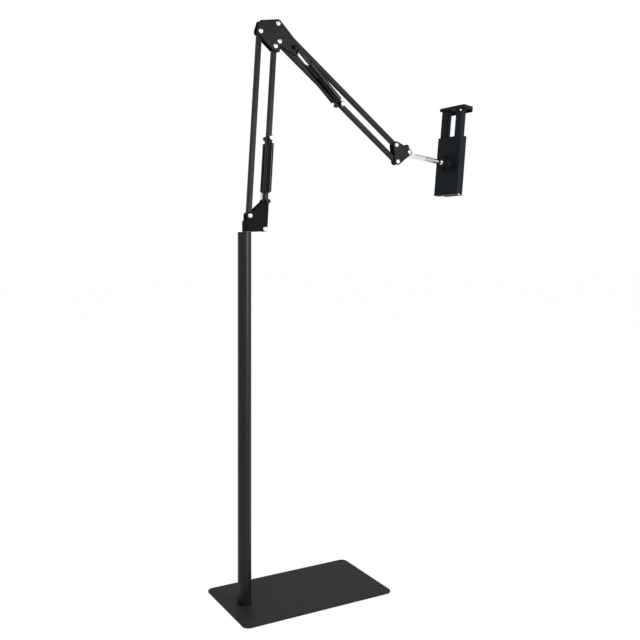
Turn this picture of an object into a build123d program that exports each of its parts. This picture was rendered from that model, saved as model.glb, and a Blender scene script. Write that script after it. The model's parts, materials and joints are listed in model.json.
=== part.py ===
from build123d import *
import math
import os

# Adjustable floor stand: round pole, folding sprung arm, ball joint and two-jaw clamp.
# Frame: origin on the floor on the pole's axis, +X along the base plate's long
# side and the arm's reach, +Z up. "near" is the -Y side, "far" the +Y side.
# Millimetres and degrees.

# Fits and shared stock
pivot_fit = 0.05
press_fit = 0.03
slide_fit = 0.3
seat_gap = 0.2
bolt_r = 2.5
bolt_head_r = 4.6
bolt_head_h = 2.2
bolt_head_round = 1.6
nut_r = 4.6
nut_h = 3.5
washer_r = 5.2

# Foot and pole
base_length = 304.0
base_width = 180.0
base_thickness = 3.5
base_corner_r = 12.0
base_edge = 0.8
pole_inset = 39.0
pad_thickness = 1.0
pad_inset = 3.0
pole_r = 12.5
pole_wall = 1.5
pole_top_height = 682.0
foot_flange_r = 14.3
foot_flange_h = 3.0
foot_round = 1.0
foot_plug_h = 28.0
base_screw_r = 4.2
base_screw_head_r = 7.5
base_screw_head_h = 2.4
base_screw_recess = 0.4
base_screw_length = 30.0
bush_depth = 40.0
bush_flange_h = 2.0

# Swivel on top of the pole
pin_r = 5.0
pin_head_r = 7.5
pin_head_h = 3.0
pin_neck_r = 2.4
pin_neck_h = 14.0
swivel_gap = 0.3
block_back = 2.6
block_front = 22.0
block_height = 20.0

# Arm: square tubes between two rows of plates
tube_size = 9.0
tube_wall = 1.0
link_length = 340.0
plate_thickness = 2.0
washer_thickness = 1.0
tube_side_gap = 0.2
lower_lean = 3.6
upper_drop = 38.6
rear_pivot_x = 8.0
rear_pivot_rise = 30.0
lower_pair_x = 30.2
lower_pair_z = -24.5
elbow_step_x = 35.65
elbow_step_z = 18.0
upper_pair_x = 3.0
upper_pair_z = -33.0
tilt_step_x = 31.4
tilt_step_z = -12.8

# Base bracket outline
bracket_corner_r = 1.5
bracket_rear_r = 7.0
bracket_front_r = 5.2
bracket_slope_r = 3.0
bracket_slope_x = 7.8
bracket_slope_z = 6.6
bracket_anchor_r = 4.5
bracket_back = 0.5
bracket_lift = 0.5

# Elbow plate outline
elbow_rear_r = 7.6
elbow_crown_r = 5.0
elbow_crown_x = 2.2
elbow_crown_z = 15.7
elbow_top_r = 8.0
elbow_front_r = 9.0
elbow_lobe_r = 6.5
tail_corner_r = 4.0
tail_corner_x = 3.0
tail_corner_up = 6.5
tail_corner_down = 11.5
plate_screw_x = 5.2
plate_screw_z = -7.4
plate_screw_r = 1.5
plate_screw_head_r = 2.6
plate_screw_head_h = 1.6
plate_screw_edge_r = 4.0

# Head plate outline
head_top_r = 7.5
head_under_r = 7.0
head_tilt_r = 6.0

# Springs, their anchors, bolts and sleeves
spring_offset = 11.5
anchor_stud_r = 2.0
anchor_reach = 16.3
anchor_nut_h = 3.0
lower_anchor_x = 3.3
lower_anchor_z = 51.1
upper_anchor_x = 32.0
upper_anchor_z = -7.3
lower_bolt_along = 168.6
upper_bolt_along = 171.0
spring_bolt_head_y = 13.8
spring_bolt_end_y = 17.3
wire_r = 0.6
coil_r = 3.1
coil_pitch = 1.9
lower_coil_start = 16.0
lower_curls = 20
upper_coil_start = 9.0
upper_curls = 30
hook_tip_run = 1.4
hook_ramp = 3.6
core_ramp = 3.6
lower_core_end = 104.0
upper_core_end = 124.0
sleeve_r = 5.5
sleeve_bore_r = 4.7
sleeve_length = 90.0
sleeve_start = 10.0
sleeve_cap = 2.0
sleeve_neck_r = 2.2
eye_r = 4.2
eye_thickness = 4.0

# Wing knob, stem and ball
knob_hub_r = 6.5
knob_wing_r = 5.5
knob_wing_reach = 13.0
knob_wing_angle = 63.0
knob_hub_y = 7.9
knob_wing_y = 10.0
knob_outer_y = 17.0
knob_round = 1.2
tilt_bolt_depth = 15.0
stem_drop = 7.8
stem_axis_drop = 5.2
stem_r = 5.0
stem_eye_r = 5.5
stem_root = 10.0
stem_joint = 44.1
stem_groove_r = 4.0
stem_groove = 1.6
stem_pivot_r = 2.0
stem_pivot_depth = 12.0
ball_reach = 89.4
ball_r = 6.5
ball_neck_r = 3.4
ball_neck = 5.0
ball_taper = 3.0

# Holder, in its own plane: x across, y out from the back, z up
holder_yaw = -84.0
holder_pitch = -7.5
holder_roll = -1.6
ball_to_back = 15.0
boss_r = 15.0
boss_h = 8.0
boss_neck_r = 12.0
boss_neck_h = 12.8
ring_r = 15.0
ring_front = 18.0
ring_mouth_r = 7.4
ring_lip_r = 6.05
ring_lip = 2.4
ring_chamfer = 0.8
ball_fit = 0.1
shell_half_width = 34.5
shell_depth = 16.0
shell_wall = 1.5
shell_top = 57.8
shell_bottom = -63.5
shell_floor = 4.0
shell_edge_r = 2.5
rail_inner = 12.5
rail_width = 17.0
rail_top = 116.7
rail_bottom = 8.0
cross_height = 6.0
jaw_half_width = 35.5
jaw_height = 7.0
jaw_depth = 27.5
jaw_round = 2.0
shelf_half_width = 22.0
shelf_round = 3.5
lip_depth = 2.5
lip_drop = 5.0
pad_depth = 8.0
pad_height = 1.5
pad_half_width = 26.0
lower_pad_half_width = 18.0
jaw_opening = 172.0
sole_thickness = 2.0
shell_screw_r = 1.2
shell_screw_head_r = 2.0
shell_screw_head_h = 0.8
shell_screw_inset = 2.35
shell_screw_depth = 12.0
jaw_screw_r = 1.2
jaw_screw_head_r = 2.3
jaw_screw_head_h = 0.8
back_screw_depth = 5.0
back_screw_drop = 4.5
top_screw_depth = 1.4
jaw_screw_a = 27.0
jaw_spring_r = 3.0
jaw_spring_a = 9.0


def shifted(point, along, up):
    return (point[0] + along, point[1] + up)


def turned(point, length, degrees):
    angle = math.radians(degrees)
    return (point[0] + length * math.cos(angle), point[1] + length * math.sin(angle))


def point_along(start, end, distance):
    span = math.dist(start, end)
    return tuple(a + (b - a) * distance / span for a, b in zip(start, end))


# Levels and half widths
plate_top = pad_thickness + base_thickness
plate_inner = tube_size / 2 + tube_side_gap + washer_thickness
plate_outer = plate_inner + plate_thickness
pole_end = pole_top_height - bush_flange_h
pole_bore_r = pole_r - pole_wall

# Pivot points, as (X, Z)
axis_top = (0, pole_top_height)
lower_rear_foot = shifted(axis_top, rear_pivot_x, rear_pivot_rise)
lower_front_foot = shifted(lower_rear_foot, lower_pair_x, lower_pair_z)
lower_rear_head = turned(lower_rear_foot, link_length, 90 - lower_lean)
lower_front_head = turned(lower_front_foot, link_length, 90 - lower_lean)
upper_top_root = shifted(lower_rear_head, elbow_step_x, elbow_step_z)
upper_under_root = shifted(upper_top_root, upper_pair_x, upper_pair_z)
upper_top_end = turned(upper_top_root, link_length, -upper_drop)
upper_under_end = turned(upper_under_root, link_length, -upper_drop)
tilt_point = shifted(upper_top_end, tilt_step_x, tilt_step_z)
lower_anchor = shifted(lower_front_foot, lower_anchor_x, lower_anchor_z)
upper_anchor = shifted(upper_under_root, upper_anchor_x, upper_anchor_z)
lower_bolt_point = point_along(lower_front_foot, lower_front_head, lower_bolt_along)
upper_bolt_point = point_along(upper_under_root, upper_under_end, upper_bolt_along)
base_pivots = (lower_rear_foot, lower_front_foot)
elbow_pivots = (lower_rear_head, lower_front_head, upper_top_root, upper_under_root)
head_pivots = (upper_top_end, upper_under_end)

# Stem line and holder plane
stem_foot = turned(tilt_point, stem_axis_drop, -90 - stem_drop)
stem_root_point = turned(stem_foot, stem_root, -stem_drop)
stem_joint_point = turned(stem_foot, stem_joint, -stem_drop)
ball_point = turned(stem_foot, ball_reach, -stem_drop)
ball_centre = Vector(ball_point[0], 0, ball_point[1])


def holder_direction(direction):
    tipped = direction.rotate(Axis.Y, holder_roll).rotate(Axis.X, holder_pitch)
    return tipped.rotate(Axis.Z, holder_yaw)


across = holder_direction(Vector(1, 0, 0))
outward = holder_direction(Vector(0, 1, 0))
upward = holder_direction(Vector(0, 0, 1))
back_centre = ball_centre + outward * ball_to_back
holder_plane = Plane(back_centre, x_dir=across, z_dir=upward)
# This plane looks back at the arm: its x runs across, its y down and its z along the spin axis
spin_plane = Plane(back_centre, x_dir=across, z_dir=outward)

for name, point in (
    ("lower rear foot", lower_rear_foot),
    ("lower front foot", lower_front_foot),
    ("lower rear head", lower_rear_head),
    ("lower front head", lower_front_head),
    ("upper top root", upper_top_root),
    ("upper under root", upper_under_root),
    ("upper top end", upper_top_end),
    ("upper under end", upper_under_end),
    ("tilt point", tilt_point),
    ("lower anchor", lower_anchor),
    ("upper anchor", upper_anchor),
    ("lower spring bolt", lower_bolt_point),
    ("upper spring bolt", upper_bolt_point),
    ("stem joint", stem_joint_point),
    ("ball", ball_point),
):
    print(f"{name}: x {point[0]:.3f} z {point[1]:.3f}")
print("holder across", across, "outward", outward, "upward", upward)
print("holder back centre", back_centre)

os.makedirs("parts", exist_ok=True)


def save(part, name):
    part.label = name
    export_step(part, f"parts/{name}.step")


def slab(side, inner, thickness):
    # Plane of a slab's sketch: extruding by the thickness fills it towards -Y
    return Plane.XZ.offset(inner if side == "near" else -inner - thickness)


def rounded_hull(*spots):
    with BuildSketch() as outline:
        for point, radius in spots:
            with Locations(point):
                Circle(radius)
        make_hull()
    return outline.sketch


# Base plate, its pad and its screw
with BuildPart() as base_plate:
    with BuildSketch(Plane.XY.offset(pad_thickness)):
        with Locations((base_length / 2 - pole_inset, 0)):
            RectangleRounded(base_length, base_width, base_corner_r)
        Circle(base_screw_r + slide_fit, mode=Mode.SUBTRACT)
    extrude(amount=base_thickness)
    chamfer(base_plate.faces().sort_by(Axis.Z)[-1].outer_wire().edges(), base_edge)
    with BuildSketch(Plane.XY.offset(pad_thickness)):
        Circle(base_screw_head_r + slide_fit)
    extrude(amount=base_screw_recess, mode=Mode.SUBTRACT)
    with BuildSketch(Plane.XY.offset(pad_thickness + base_screw_recess)):
        Circle(base_screw_head_r + slide_fit)
    with BuildSketch(Plane.XY.offset(pad_thickness + base_screw_recess + base_screw_head_h)):
        Circle(base_screw_r + slide_fit)
    loft(mode=Mode.SUBTRACT)
save(base_plate.part, "base_plate")

with BuildPart() as anti_slip_pad:
    with BuildSketch():
        with Locations((base_length / 2 - pole_inset, 0)):
            RectangleRounded(base_length - 2 * pad_inset, base_width - 2 * pad_inset, base_corner_r - pad_inset)
    extrude(amount=pad_thickness)
save(anti_slip_pad.part, "anti_slip_pad")

screw_bottom = pad_thickness + base_screw_recess
with BuildPart() as base_screw:
    with BuildSketch(Plane.XY.offset(screw_bottom)):
        Circle(base_screw_r)
    extrude(amount=base_screw_length)
    with BuildSketch(Plane.XY.offset(screw_bottom)):
        Circle(base_screw_head_r)
    with BuildSketch(Plane.XY.offset(screw_bottom + base_screw_head_h)):
        Circle(base_screw_r)
    loft()
save(base_screw.part, "base_screw")

with BuildPart() as pole_foot:
    with BuildSketch(Plane.XY.offset(plate_top)):
        Circle(foot_flange_r)
    extrude(amount=foot_flange_h)
    fillet(pole_foot.faces().sort_by(Axis.Z)[-1].edges(), foot_round)
    with BuildSketch(Plane.XY.offset(plate_top + foot_flange_h)):
        Circle(pole_bore_r - press_fit)
    extrude(amount=foot_plug_h)
    with BuildSketch(Plane.XY.offset(plate_top)):
        Circle(base_screw_r + press_fit)
    extrude(amount=foot_flange_h + foot_plug_h, mode=Mode.SUBTRACT)
save(pole_foot.part, "pole_foot")

pole_start = plate_top + foot_flange_h
with BuildPart() as pole_tube:
    with BuildSketch(Plane.XY.offset(pole_start)):
        Circle(pole_r)
        Circle(pole_bore_r, mode=Mode.SUBTRACT)
    extrude(amount=pole_end - pole_start)
save(pole_tube.part, "pole_tube")

bush_bottom = pole_top_height - bush_depth
with BuildPart() as pole_bush:
    with BuildSketch(Plane.XY.offset(bush_bottom)):
        Circle(pole_bore_r - press_fit)
    extrude(amount=bush_depth - bush_flange_h)
    with BuildSketch(Plane.XY.offset(pole_end)):
        Circle(pole_r)
    extrude(amount=bush_flange_h)
    with BuildSketch(Plane.XY.offset(bush_bottom)):
        Circle(pin_r + pivot_fit)
    extrude(amount=bush_depth, mode=Mode.SUBTRACT)
save(pole_bush.part, "pole_bush")

# Swivel: pin, block and two bracket plates
with BuildPart() as swivel_pin:
    with BuildSketch(Plane.XY.offset(bush_bottom - swivel_gap - pin_head_h)):
        Circle(pin_head_r)
    extrude(amount=pin_head_h)
    with BuildSketch(Plane.XY.offset(bush_bottom - swivel_gap)):
        Circle(pin_r)
    extrude(amount=bush_depth + swivel_gap)
    with BuildSketch(Plane.XY.offset(pole_top_height)):
        Circle(pin_neck_r)
    extrude(amount=swivel_gap + pin_neck_h)
save(swivel_pin.part, "swivel_pin")

block_bottom = pole_top_height + swivel_gap
with BuildPart() as swivel_block:
    with BuildSketch(Plane.XY.offset(block_bottom)):
        with Locations(((block_front - block_back) / 2, 0)):
            Rectangle(block_front + block_back, 2 * plate_inner)
    extrude(amount=block_height)
    with BuildSketch(Plane.XY.offset(block_bottom)):
        Circle(pin_neck_r + press_fit)
    extrude(amount=pin_neck_h + seat_gap, mode=Mode.SUBTRACT)
save(swivel_block.part, "swivel_block")

bracket_foot = pole_top_height + bracket_lift
bracket_web = rounded_hull(
    ((bracket_back + bracket_corner_r, bracket_foot + bracket_corner_r), bracket_corner_r),
    (lower_rear_foot, bracket_rear_r),
    (lower_front_foot, bracket_front_r - bracket_lift),
)
bracket_ear = rounded_hull(
    ((bracket_back + bracket_corner_r, bracket_foot + bracket_corner_r), bracket_corner_r),
    (shifted(lower_rear_foot, bracket_slope_x, bracket_slope_z), bracket_slope_r),
    (lower_anchor, bracket_anchor_r),
    (lower_front_foot, bracket_front_r - bracket_lift),
)
for side in ("near", "far"):
    with BuildPart() as base_bracket:
        with BuildSketch(slab(side, plate_inner, plate_thickness)):
            add(bracket_web)
            add(bracket_ear)
            with Locations(base_pivots):
                Circle(bolt_r + press_fit, mode=Mode.SUBTRACT)
            with Locations(lower_anchor):
                Circle(anchor_stud_r + press_fit, mode=Mode.SUBTRACT)
        extrude(amount=plate_thickness)
    save(base_bracket.part, f"base_bracket_{side}")


# Fasteners that repeat at the base, the elbow and the head
def pivot_bolts(points):
    with BuildPart() as bolts:
        with BuildSketch(Plane.XZ.offset(-plate_outer - nut_h)):
            with Locations(points):
                Circle(bolt_r)
        extrude(amount=2 * plate_outer + nut_h)
        with BuildSketch(Plane.XZ.offset(plate_outer)):
            with Locations(points):
                Circle(bolt_head_r)
        extrude(amount=bolt_head_h)
        rims = bolts.edges().filter_by(GeomType.CIRCLE).group_by(Axis.Y)[0]
        fillet(rims, bolt_head_round)
    return bolts.part


def hex_nuts(points, plane, height, bore_r):
    with BuildPart() as nuts:
        with BuildSketch(plane):
            with Locations(points):
                RegularPolygon(nut_r, side_count=6)
                Circle(bore_r + press_fit, mode=Mode.SUBTRACT)
        extrude(amount=height)
    return nuts.part


def pivot_washers(points):
    with BuildPart() as washers:
        for side in ("near", "far"):
            with BuildSketch(slab(side, plate_inner - washer_thickness, washer_thickness)):
                with Locations(points):
                    Circle(washer_r)
                    Circle(bolt_r + press_fit, mode=Mode.SUBTRACT)
            extrude(amount=washer_thickness)
    return washers.part


def anchor_studs(point):
    with BuildPart() as studs:
        for side in ("near", "far"):
            with BuildSketch(slab(side, plate_inner, anchor_reach - plate_inner)):
                with Locations(point):
                    Circle(anchor_stud_r)
            extrude(amount=anchor_reach - plate_inner)
    return studs.part


def anchor_nuts(point):
    with BuildPart() as nuts:
        for side in ("near", "far"):
            with BuildSketch(slab(side, anchor_reach - anchor_nut_h, anchor_nut_h)):
                with Locations(point):
                    RegularPolygon(nut_r, side_count=6)
                    Circle(anchor_stud_r + press_fit, mode=Mode.SUBTRACT)
            extrude(amount=anchor_nut_h)
    return nuts.part


pivot_nut_plane = Plane.XZ.offset(-plate_outer - nut_h)
for place, points in (("base", base_pivots), ("elbow", elbow_pivots), ("head", head_pivots)):
    save(pivot_bolts(points), f"{place}_pivot_bolts")
    save(hex_nuts(points, pivot_nut_plane, nut_h, bolt_r), f"{place}_pivot_nuts")
    save(pivot_washers(points), f"{place}_washers")
for place, point in (("base", lower_anchor), ("elbow", upper_anchor)):
    save(anchor_studs(point), f"{place}_anchor_studs")
    save(anchor_nuts(point), f"{place}_anchor_nuts")


# Square tubes with rounded ends, pivoted at both ends
def link_tube(start, end, holes):
    middle = ((start[0] + end[0]) / 2, (start[1] + end[1]) / 2)
    slope = math.degrees(math.atan2(end[1] - start[1], end[0] - start[0]))
    bore = tube_size - 2 * tube_wall
    with BuildPart() as tube:
        with BuildSketch(Plane.XZ.offset(-tube_size / 2)):
            with Locations(Location((middle[0], middle[1]), slope)):
                SlotCenterToCenter(link_length, tube_size)
        extrude(amount=tube_size)
        with BuildSketch(Plane.XZ.offset(-bore / 2)):
            with Locations(Location((middle[0], middle[1]), slope)):
                Rectangle(link_length + 2 * tube_size, bore)
        extrude(amount=bore, mode=Mode.SUBTRACT)
        with BuildSketch(Plane.XZ.offset(-tube_size / 2)):
            with Locations((start, end) + holes):
                Circle(bolt_r + pivot_fit)
        extrude(amount=tube_size, mode=Mode.SUBTRACT)
    return tube.part


save(link_tube(lower_rear_foot, lower_rear_head, ()), "lower_rear_tube")
save(link_tube(lower_front_foot, lower_front_head, (lower_bolt_point,)), "lower_front_tube")
save(link_tube(upper_top_root, upper_top_end, ()), "upper_top_tube")
save(link_tube(upper_under_root, upper_under_end, (upper_bolt_point,)), "upper_under_tube")

# Elbow plates with a tail for the upper springs, and the near plate's small screw
plate_screw_point = shifted(lower_front_head, plate_screw_x, plate_screw_z)
elbow_web = rounded_hull(
    (lower_rear_head, elbow_rear_r),
    (shifted(lower_rear_head, elbow_crown_x, elbow_crown_z), elbow_crown_r),
    (upper_top_root, elbow_top_r),
    (lower_front_head, elbow_front_r),
    (plate_screw_point, plate_screw_edge_r),
)
elbow_tail = rounded_hull(
    (upper_top_root, elbow_top_r),
    (upper_under_root, elbow_lobe_r),
    (shifted(upper_anchor, tail_corner_x, tail_corner_up), tail_corner_r),
    (shifted(upper_anchor, tail_corner_x, -tail_corner_down), tail_corner_r),
)
for side in ("near", "far"):
    with BuildPart() as elbow_plate:
        with BuildSketch(slab(side, plate_inner, plate_thickness)):
            add(elbow_web)
            add(elbow_tail)
            with Locations(elbow_pivots):
                Circle(bolt_r + press_fit, mode=Mode.SUBTRACT)
            with Locations(upper_anchor):
                Circle(anchor_stud_r + press_fit, mode=Mode.SUBTRACT)
            if side == "near":
                with Locations(plate_screw_point):
                    Circle(plate_screw_r + press_fit, mode=Mode.SUBTRACT)
        extrude(amount=plate_thickness)
    save(elbow_plate.part, f"elbow_plate_{side}")

with BuildPart() as elbow_plate_screw:
    with BuildSketch(Plane.XZ.offset(plate_inner)):
        with Locations(plate_screw_point):
            Circle(plate_screw_r)
    extrude(amount=plate_thickness)
    with BuildSketch(Plane.XZ.offset(plate_outer)):
        with Locations(plate_screw_point):
            Circle(plate_screw_head_r)
    extrude(amount=plate_screw_head_h)
save(elbow_plate_screw.part, "elbow_plate_screw")


# Spring bolts through the tubes
def spring_bolt(point):
    with BuildPart() as bolt:
        with BuildSketch(Plane.XZ.offset(-spring_bolt_end_y)):
            with Locations(point):
                Circle(bolt_r)
        extrude(amount=spring_bolt_end_y + spring_bolt_head_y)
        with BuildSketch(Plane.XZ.offset(spring_bolt_head_y)):
            with Locations(point):
                Circle(bolt_head_r)
        extrude(amount=bolt_head_h)
        fillet(bolt.edges().filter_by(GeomType.CIRCLE).group_by(Axis.Y)[0], bolt_head_round)
    return bolt.part


spring_nut_plane = Plane.XZ.offset(-spring_bolt_head_y - nut_h)
for arm, point in (("lower", lower_bolt_point), ("upper", upper_bolt_point)):
    save(spring_bolt(point), f"{arm}_spring_bolt")
    save(hex_nuts((point,), spring_nut_plane, nut_h, bolt_r), f"{arm}_spring_nut")


# Sleeve over a spring: a plastic tube with a capped end and an eye on the spring bolt
def spring_sleeve(bolt_point, anchor, y):
    origin = Vector(bolt_point[0], y, bolt_point[1])
    axis = Plane(origin, x_dir=(0, 1, 0), z_dir=Vector(anchor[0], y, anchor[1]) - origin)
    with BuildPart() as sleeve:
        with BuildSketch(axis.offset(sleeve_start)):
            Circle(sleeve_r)
        extrude(amount=sleeve_length)
        with BuildSketch(axis.offset(sleeve_start + sleeve_cap)):
            Circle(sleeve_bore_r)
        extrude(amount=sleeve_length, mode=Mode.SUBTRACT)
        with BuildSketch(axis):
            Circle(sleeve_neck_r)
        extrude(amount=sleeve_start)
        with BuildSketch(Plane.XZ.offset(-y - eye_thickness / 2)):
            with Locations(bolt_point):
                Circle(eye_r)
        extrude(amount=eye_thickness)
        with BuildSketch(Plane.XZ.offset(-y - eye_thickness)):
            with Locations(bolt_point):
                Circle(bolt_r + pivot_fit)
        extrude(amount=2 * eye_thickness, mode=Mode.SUBTRACT)
    return sleeve.part


# Tension spring: a hook round its anchor stud, its curls, and a straight core in the sleeve
def biarc(start, start_way, end, end_way):
    # Two arcs that leave the start along start_way and reach the end along end_way
    chord = end - start
    ways = start_way + end_way
    bend = 2 * (start_way.dot(end_way) - 1)
    slope = -2 * chord.dot(ways)
    reach = chord.dot(chord)
    if abs(bend) < 1e-9:
        leg = reach / -slope
    else:
        leg = (-slope - math.sqrt(slope * slope - 4 * bend * reach)) / (2 * bend)
    joint = (start + end) / 2 + (start_way - end_way) * (leg / 2)
    arcs = []
    for first, corner, last in ((start, start + start_way * leg, joint), (joint, end - end_way * leg, end)):
        half = (last - first).length / 2
        middle = (first + last) / 2
        arcs.append((first, middle + (corner - middle) * (half / (leg + half)), last))
    return arcs


def helix_point(turn, start):
    angle = 2 * math.pi * turn
    point = Vector(coil_r * math.cos(angle), coil_r * math.sin(angle), start + coil_pitch * turn)
    way = Vector(-coil_r * math.sin(angle), coil_r * math.cos(angle), coil_pitch / (2 * math.pi))
    return point, way.normalized()


def spring_arcs(coil_start, curls, core_end):
    axial = Vector(0, 0, 1)
    quarter = 1 / 4
    origin = coil_start - coil_pitch * quarter
    hook_side = Vector(coil_r, 0, coil_start - hook_ramp)
    stops = [helix_point(quarter + step / 2, origin) for step in range(2 * curls + 1)]
    core_start = Vector(0, 0, stops[-1][0].Z + core_ramp)
    runs = [
        (Vector(-coil_r, 0, hook_tip_run), Vector(-coil_r, 0, 0)),
        (Vector(-coil_r, 0, 0), Vector(0, 0, -coil_r), Vector(coil_r, 0, 0)),
        (Vector(coil_r, 0, 0), hook_side),
    ]
    runs += biarc(hook_side, axial, *stops[0])
    for here, there in zip(stops, stops[1:]):
        runs += biarc(*here, *there)
    runs += biarc(*stops[-1], core_start, axial)
    runs.append((core_start, Vector(0, 0, core_end)))
    return runs


def coil_gap(coil_start, curls):
    # Least distance between neighbouring curls' surfaces, measured on points of the helix
    points_per_turn = 24
    points = [helix_point(step / points_per_turn, coil_start)[0] for step in range(3 * points_per_turn)]
    gaps = [
        (points[i] - points[j]).length
        for i in range(points_per_turn)
        for j in range(i + points_per_turn // 2, 3 * points_per_turn)
    ]
    return min(gaps) - 2 * wire_r


def tension_spring(anchor, bolt_point, y, coil_start, curls, core_end):
    origin = Vector(anchor[0], y, anchor[1])
    along_spring = (Vector(bolt_point[0], y, bolt_point[1]) - origin).normalized()
    frame = Plane(origin, x_dir=along_spring.cross(Vector(0, 1, 0)), z_dir=along_spring)
    with BuildPart() as spring:
        with BuildLine() as path:
            for run in spring_arcs(coil_start, curls, core_end):
                placed = [frame.from_local_coords(point) for point in run]
                if len(placed) == 2:
                    Line(*placed)
                else:
                    ThreePointArc(*placed)
        wire = path.wires()[0]
        tip = frame.from_local_coords(Vector(-coil_r, 0, hook_tip_run))
        with BuildSketch(Plane(tip, x_dir=(0, 1, 0), z_dir=-along_spring)):
            Circle(wire_r)
        sweep(path=wire)
    print(f"spring {y:+.1f}: length {wire.length:.1f}, volume share",
          round(spring.part.volume / (wire.length * math.pi * wire_r**2), 4))
    return spring.part


springs = {
    "lower": (lower_anchor, lower_bolt_point, lower_coil_start, lower_curls, lower_core_end),
    "upper": (upper_anchor, upper_bolt_point, upper_coil_start, upper_curls, upper_core_end),
}
for arm, (anchor, bolt_point, coil_start, curls, core_end) in springs.items():
    rest_length = math.dist(anchor, bolt_point)
    print(f"{arm} spring: anchor to bolt {rest_length:.2f}, gap {coil_gap(coil_start, curls):.3f}")
    for side, y in (("near", -spring_offset), ("far", spring_offset)):
        save(spring_sleeve(bolt_point, anchor, y), f"{arm}_sleeve_{side}")
        save(tension_spring(anchor, bolt_point, y, coil_start, curls, core_end), f"{arm}_spring_{side}")

# Head plates, tilt bolt and wing knob
head_outline = rounded_hull(
    (upper_top_end, head_top_r),
    (upper_under_end, head_under_r),
    (tilt_point, head_tilt_r),
)
for side in ("near", "far"):
    with BuildPart() as head_plate:
        with BuildSketch(slab(side, plate_inner, plate_thickness)):
            add(head_outline)
            with Locations(head_pivots + (tilt_point,)):
                Circle(bolt_r + press_fit, mode=Mode.SUBTRACT)
        extrude(amount=plate_thickness)
    save(head_plate.part, f"head_plate_{side}")

with BuildPart() as tilt_bolt:
    with BuildSketch(Plane.XZ.offset(-tilt_bolt_depth)):
        with Locations(tilt_point):
            Circle(bolt_r)
    extrude(amount=tilt_bolt_depth + plate_outer)
    with BuildSketch(Plane.XZ.offset(plate_outer)):
        with Locations(tilt_point):
            Circle(bolt_head_r)
    extrude(amount=bolt_head_h)
    fillet(tilt_bolt.edges().filter_by(GeomType.CIRCLE).group_by(Axis.Y)[0], bolt_head_round)
save(tilt_bolt.part, "tilt_bolt")

with BuildPart() as tilt_knob:
    with BuildSketch(Plane.XZ.offset(-knob_outer_y)):
        with Locations(tilt_point):
            Circle(knob_hub_r)
    extrude(amount=knob_outer_y - knob_hub_y)
    with BuildSketch(Plane.XZ.offset(-knob_outer_y)):
        with Locations(Location(tilt_point, knob_wing_angle)):
            SlotCenterToCenter(2 * knob_wing_reach, 2 * knob_wing_r)
    extrude(amount=knob_outer_y - knob_wing_y)
    fillet(tilt_knob.faces().sort_by(Axis.Y)[-1].edges(), knob_round)
    with BuildSketch(Plane.XZ.offset(-tilt_bolt_depth - seat_gap)):
        with Locations(tilt_point):
            Circle(bolt_r + pivot_fit)
    extrude(amount=tilt_bolt_depth, mode=Mode.SUBTRACT)
save(tilt_knob.part, "tilt_knob")

# Knuckle with the stem's first stage, then the ball stud that turns in it
stem_way = Vector(math.cos(math.radians(stem_drop)), 0, -math.sin(math.radians(stem_drop)))
stem_plane = Plane(Vector(stem_foot[0], 0, stem_foot[1]), x_dir=(0, 1, 0), z_dir=stem_way)
knuckle_outline = rounded_hull((tilt_point, stem_eye_r), (stem_root_point, stem_r))
with BuildPart() as tilt_knuckle:
    with BuildSketch(Plane.XZ.offset(-plate_inner + tube_side_gap)):
        add(knuckle_outline)
    extrude(amount=2 * (plate_inner - tube_side_gap))
    with BuildSketch(stem_plane.offset(stem_root)):
        Circle(stem_r)
    extrude(amount=stem_joint - stem_root)
    with BuildSketch(Plane.XZ.offset(-plate_inner)):
        with Locations(tilt_point):
            Circle(bolt_r + pivot_fit)
    extrude(amount=2 * plate_inner, mode=Mode.SUBTRACT)
    with BuildSketch(stem_plane.offset(stem_joint - stem_pivot_depth)):
        Circle(stem_pivot_r + pivot_fit)
    extrude(amount=stem_pivot_depth, mode=Mode.SUBTRACT)
save(tilt_knuckle.part, "tilt_knuckle")

stud_start = stem_joint + stem_groove
stud_end = ball_reach - ball_neck - ball_taper
with BuildPart() as ball_stud:
    with BuildSketch(stem_plane.offset(stem_joint - stem_pivot_depth + seat_gap)):
        Circle(stem_pivot_r)
    extrude(amount=stem_pivot_depth - seat_gap + stem_groove)
    with BuildSketch(stem_plane.offset(stem_joint + seat_gap)):
        Circle(stem_groove_r)
    extrude(amount=stem_groove - seat_gap)
    with BuildSketch(stem_plane.offset(stud_start)):
        Circle(stem_r)
    extrude(amount=stud_end - stud_start)
    with BuildSketch(stem_plane.offset(stud_end)):
        Circle(stem_r)
    with BuildSketch(stem_plane.offset(stud_end + ball_taper)):
        Circle(ball_neck_r)
    loft()
    with BuildSketch(stem_plane.offset(stud_end + ball_taper)):
        Circle(ball_neck_r)
    extrude(amount=ball_neck)
    with Locations(ball_centre):
        Sphere(ball_r)
save(ball_stud.part, "ball_stud")

# Lock ring over the ball; the spin plane's offsets count from the holder's back
with BuildPart() as lock_ring:
    with BuildSketch(spin_plane.offset(-ring_front)):
        Circle(ring_r)
    extrude(amount=ring_front - boss_h - seat_gap)
    chamfer(lock_ring.edges().filter_by(GeomType.CIRCLE), ring_chamfer)
    with BuildSketch(spin_plane.offset(-boss_neck_h - seat_gap)):
        Circle(boss_neck_r + pivot_fit)
    extrude(amount=boss_neck_h, mode=Mode.SUBTRACT)
    with BuildSketch(spin_plane.offset(-ring_front)):
        Circle(ring_mouth_r)
    with BuildSketch(spin_plane.offset(-ball_to_back - ring_lip)):
        Circle(ring_lip_r)
    loft(mode=Mode.SUBTRACT)
    with Locations(ball_centre):
        Sphere(ball_r + ball_fit, mode=Mode.SUBTRACT)
save(lock_ring.part, "lock_ring")

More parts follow.
